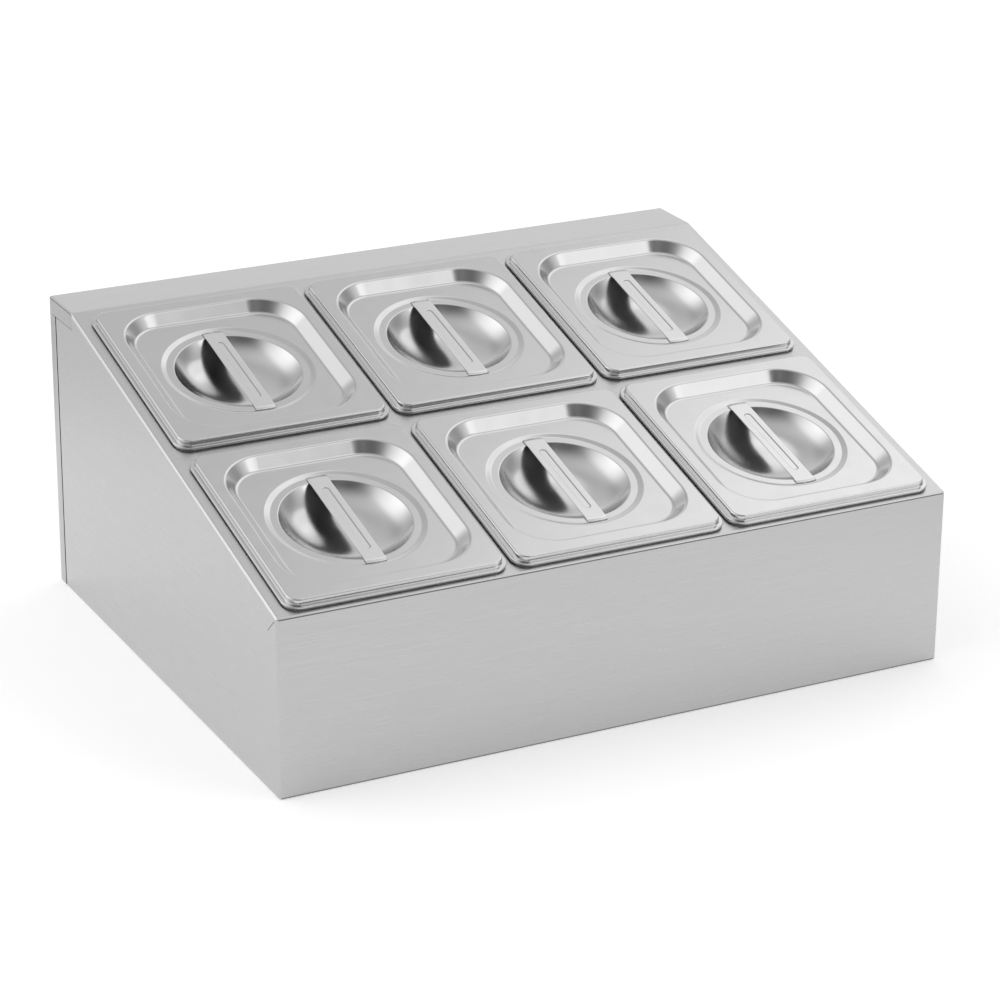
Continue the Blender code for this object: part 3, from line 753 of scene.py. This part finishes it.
def addFloor():
    mesh = bpy.data.meshes.new("floor")
    half = studio["floorSize"] / 2
    corners = [(-half, -half, 0), (half, -half, 0), (half, half, 0), (-half, half, 0)]
    mesh.from_pydata(corners, [], [(0, 1, 2, 3)])
    floor = newObject("floor", mesh)
    material = bpy.data.materials.new("paleFloor")
    material.use_nodes = True
    tree = material.node_tree
    shader = tree.nodes["Principled BSDF"]
    shader.inputs["Base Color"].default_value = hexColour(studio["floorColour"])
    shader.inputs["Roughness"].default_value = 1
    shader.inputs["Specular IOR Level"].default_value = 0
    ray = addNode(tree, "ShaderNodeLightPath").outputs
    # painted pool of light: mirrored rays see the paper glow brightest round the object, fading with
    # distance
    place = addNode(tree, "ShaderNodeTexCoord").outputs["Object"]
    distance = addNode(tree, "ShaderNodeVectorMath", {0: place}, operation="LENGTH").outputs["Value"]
    paintedLightPool = addNode(tree, "ShaderNodeMapRange", {
        "Value": distance, "From Min": studio["poolNear"], "From Max": studio["poolFar"],
        "To Min": studio["mirrorLift"], "To Max": 0}, interpolation_type="SMOOTHSTEP")
    mirrored = addNode(tree, "ShaderNodeMath", {
        0: ray["Is Glossy Ray"], 1: paintedLightPool.outputs[0]}, operation="MULTIPLY")
    lift = addNode(tree, "ShaderNodeMix", {
        0: ray["Is Camera Ray"], 2: mirrored.outputs[0], 3: studio["floorLift"]})
    shader.inputs["Emission Color"].default_value = (1, 1, 1, 1)
    tree.links.new(lift.outputs[0], shader.inputs["Emission Strength"])
    floor.data.materials.append(material)


def addRoom():
    world = bpy.data.worlds.new("studioRoom")
    world.use_nodes = True
    tree = world.node_tree
    way = addNode(tree, "ShaderNodeTexCoord").outputs["Generated"]
    height = addNode(tree, "ShaderNodeVectorMath", {0: way, 1: (0, 0, 1)}, operation="DOT_PRODUCT")
    total = addNode(tree, "ShaderNodeMapRange", {
        "Value": height.outputs["Value"],
        "To Min": studio["roomLow"], "To Max": studio["roomHigh"]}).outputs[0]
    boxes = [value for value in studio.values() if isinstance(value, tuple)]
    for azimuth, elevation, halfWidth, halfHeight, softness, strength in boxes:
        turn = Matrix.Rotation(math.radians(-azimuth), 3, "Z")
        turn @= Matrix.Rotation(math.radians(elevation), 3, "X")
        across, ahead, up = (turn @ Vector(axis) for axis in ((1, 0, 0), (0, 1, 0), (0, 0, 1)))
        across /= math.sin(math.radians(halfWidth))
        up /= math.sin(math.radians(halfHeight))
        parts = []
        for axis in (across, up, ahead):
            dot = addNode(tree, "ShaderNodeVectorMath", {0: way, 1: axis}, operation="DOT_PRODUCT")
            parts.append(dot.outputs["Value"])
        # the far side of the room would mirror the box, so there it is put out of reach
        behind = addNode(tree, "ShaderNodeMapRange", {
            "Value": parts[2], "From Min": -0.1, "From Max": 0, "To Min": 9, "To Max": 0})
        far = addNode(tree, "ShaderNodeCombineXYZ", {0: parts[0], 1: parts[1], 2: behind.outputs[0]})
        distance = addNode(tree, "ShaderNodeVectorMath", {0: far.outputs[0]}, operation="LENGTH")
        share = addNode(tree, "ShaderNodeMapRange", {
            "Value": distance.outputs["Value"], "From Min": 1 - softness, "From Max": 1 + softness,
            "To Min": strength, "To Max": 0}, interpolation_type="SMOOTHSTEP")
        total = addNode(tree, "ShaderNodeMath", {0: total, 1: share.outputs[0]}, operation="ADD").outputs[0]
    ray = addNode(tree, "ShaderNodeLightPath").outputs
    strength = addNode(tree, "ShaderNodeMix", {0: ray["Is Camera Ray"], 2: total, 3: 1.0})
    background = tree.nodes["Background"]
    background.inputs["Color"].default_value = (1, 1, 1, 1)
    tree.links.new(strength.outputs[0], background.inputs["Strength"])
    bpy.context.scene.world = world


addCamera()
addFloor()
addRoom()
bpy.context.scene.view_settings.view_transform = "Standard"
print("camera and studio set")
